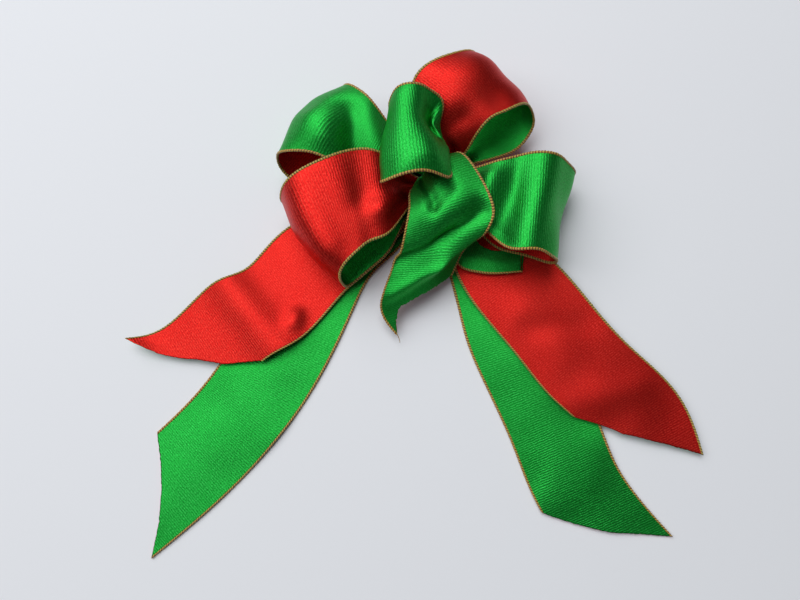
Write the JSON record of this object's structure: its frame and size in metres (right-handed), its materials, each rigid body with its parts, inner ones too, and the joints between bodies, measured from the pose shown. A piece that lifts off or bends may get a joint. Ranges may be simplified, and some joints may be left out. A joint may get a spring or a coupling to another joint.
{
  "type": "gift bow",
  "caption": "Hand-tied gift bow of reversible red and green wired satin ribbon with loops round a bound waist and long tails cut on the slant.",
  "frame": {"origin": "on the resting plane, under the middle of the waist, where the bow's back meets what it lies on", "axes": "+Z out of the front of the bow, +Y towards its top, away from the tails, +X to its right seen from the front"},
  "size_m": [0.2371, 0.2065, 0.0419],
  "materials": {
    "satin_green": "ribbed satin weave, green face of a reversible ribbon",
    "satin_red": "ribbed satin weave, red face of a reversible ribbon",
    "edge_stitching": "gold and rust overcast thread over a fine wire",
    "binding_wire": "bare soft wire"
  },
  "bodies": {
    "knot": {"waist_gather": "satin_green", "binding_wire": "binding_wire"},
    "loop_upper_left": {"loop_upper_left": "satin_green", "edge_loop_upper_left_left": "edge_stitching", "edge_loop_upper_left_right": "edge_stitching"},
    "loop_lower_left": {"loop_lower_left": "satin_red", "edge_loop_lower_left_left": "edge_stitching", "edge_loop_lower_left_right": "edge_stitching"},
    "loop_upper_right": {"loop_upper_right": "satin_red", "edge_loop_upper_right_left": "edge_stitching", "edge_loop_upper_right_right": "edge_stitching"},
    "loop_right": {"loop_right": "satin_green", "edge_loop_right_left": "edge_stitching", "edge_loop_right_right": "edge_stitching"},
    "loop_centre": {"loop_centre": "satin_green", "edge_loop_centre_left": "edge_stitching", "edge_loop_centre_right": "edge_stitching"},
    "front_tail": {"front_tail": "satin_green", "edge_front_tail_left": "edge_stitching", "edge_front_tail_right": "edge_stitching"},
    "inner_tail": {"inner_tail": "satin_green", "edge_inner_tail_left": "edge_stitching", "edge_inner_tail_right": "edge_stitching"},
    "tail_left_red": {"tail_left_red": "satin_red", "edge_tail_left_red_left": "edge_stitching", "edge_tail_left_red_right": "edge_stitching"},
    "tail_left_green": {"tail_left_green": "satin_green", "edge_tail_left_green_left": "edge_stitching", "edge_tail_left_green_right": "edge_stitching"},
    "tail_right_red": {"tail_right_red": "satin_red", "edge_tail_right_red_left": "edge_stitching", "edge_tail_right_red_right": "edge_stitching"},
    "tail_right_green": {"tail_right_green": "satin_green", "edge_tail_right_green_left": "edge_stitching", "edge_tail_right_green_right": "edge_stitching"}
  },
  "joints": [
    {"name": "loop_upper_left_swing", "type": "hinge", "parent": "knot", "child": "loop_upper_left", "pos_m": [0, 0, 0], "axis": [0, 0, 1], "range_deg": [-3, 5]},
    {"name": "loop_upper_right_swing", "type": "hinge", "parent": "knot", "child": "loop_upper_right", "pos_m": [0, 0, 0], "axis": [0, 0, 1], "range_deg": [-5, 3]},
    {"name": "loop_right_swing", "type": "hinge", "parent": "knot", "child": "loop_right", "pos_m": [0, 0, 0], "axis": [0, 0, 1], "range_deg": [-4, 5]},
    {"name": "loop_lower_left_lift", "type": "hinge", "parent": "knot", "child": "loop_lower_left", "pos_m": [0, 0, 0.012], "axis": [-0.41, 0.9121, 0], "range_deg": [0, 10]},
    {"name": "loop_centre_lean", "type": "hinge", "parent": "knot", "child": "loop_centre", "pos_m": [0, 0.008, 0.022], "axis": [0, 1, 0], "range_deg": [0, 14]},
    {"name": "front_tail_lift", "type": "hinge", "parent": "knot", "child": "front_tail", "pos_m": [0, 0, 0.022], "axis": [-1, 0, 0], "range_deg": [0, 10]},
    {"name": "inner_tail_swing", "type": "hinge", "parent": "knot", "child": "inner_tail", "pos_m": [0, 0, 0], "axis": [0, 0, 1], "range_deg": [-3, 3]},
    {"name": "tail_left_red_swing", "type": "hinge", "parent": "knot", "child": "tail_left_red", "pos_m": [0, 0, 0], "axis": [0, 0, 1], "range_deg": [-12, 10]},
    {"name": "tail_left_green_swing", "type": "hinge", "parent": "knot", "child": "tail_left_green", "pos_m": [0, 0, 0], "axis": [0, 0, 1], "range_deg": [-12, 6]},
    {"name": "tail_right_red_swing", "type": "hinge", "parent": "knot", "child": "tail_right_red", "pos_m": [0, 0, 0], "axis": [0, 0, 1], "range_deg": [-10, 12]},
    {"name": "tail_right_green_swing", "type": "hinge", "parent": "knot", "child": "tail_right_green", "pos_m": [0, 0, 0], "axis": [0, 0, 1], "range_deg": [-6, 12]}
  ]
}
